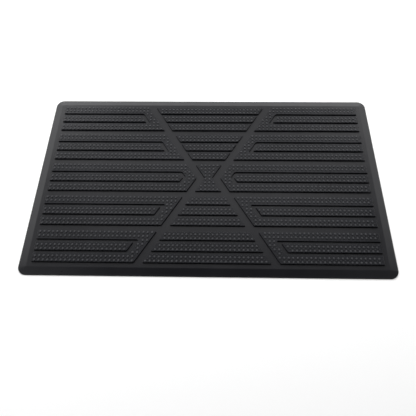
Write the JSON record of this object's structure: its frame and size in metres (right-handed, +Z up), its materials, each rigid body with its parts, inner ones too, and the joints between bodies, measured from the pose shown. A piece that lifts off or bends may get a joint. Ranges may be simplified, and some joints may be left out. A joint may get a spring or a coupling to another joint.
{
  "type": "door mat",
  "caption": "Moulded rubber scraper door mat with nubbed raised bars, crossing diagonal drain channels and a ramped, rounded border.",
  "frame": {"origin": "centre of the underside, on the floor that the mat lies on", "axes": "+X along the long side, +Y towards the rear long edge, +Z up through the tread"},
  "size_m": [0.762, 0.457, 0.0095],
  "materials": {
    "smooth_rubber": "satin moulded skin",
    "tread_rubber": "matte, slightly scuffed moulded skin"
  },
  "bodies": {
    "root": {"floor_web": "smooth_rubber", "front_left_corner": "smooth_rubber", "front_ramp": "smooth_rubber", "front_right_corner": "smooth_rubber", "left_ramp": "smooth_rubber", "rear_left_corner": "smooth_rubber", "rear_ramp": "smooth_rubber", "rear_right_corner": "smooth_rubber", "right_ramp": "smooth_rubber", "row1_centre_front_bar": "tread_rubber", "row1_centre_middle_bar": "tread_rubber", "row1_centre_rear_bar": "tread_rubber", "row1_left_hairpin": "tread_rubber", "row1_left_middle_bar": "tread_rubber", "row1_right_hairpin": "tread_rubber", "row1_right_middle_bar": "tread_rubber", "row2_centre_front_bar": "tread_rubber", "row2_centre_middle_bar": "tread_rubber", "row2_centre_rear_bar": "tread_rubber", "row2_left_hairpin": "tread_rubber", "row2_left_middle_bar": "tread_rubber", "row2_right_hairpin": "tread_rubber", "row2_right_middle_bar": "tread_rubber", "row3_centre_hourglass": "tread_rubber", "row3_left_hairpin": "tread_rubber", "row3_left_middle_bar": "tread_rubber", "row3_right_hairpin": "tread_rubber", "row3_right_middle_bar": "tread_rubber", "row4_centre_front_bar": "tread_rubber", "row4_centre_middle_bar": "tread_rubber", "row4_centre_rear_bar": "tread_rubber", "row4_left_hairpin": "tread_rubber", "row4_left_middle_bar": "tread_rubber", "row4_right_hairpin": "tread_rubber", "row4_right_middle_bar": "tread_rubber", "row5_centre_front_bar": "tread_rubber", "row5_centre_middle_bar": "tread_rubber", "row5_centre_rear_bar": "tread_rubber", "row5_left_hairpin": "tread_rubber", "row5_left_middle_bar": "tread_rubber", "row5_right_hairpin": "tread_rubber", "row5_right_middle_bar": "tread_rubber"}
  },
  "joints": []
}
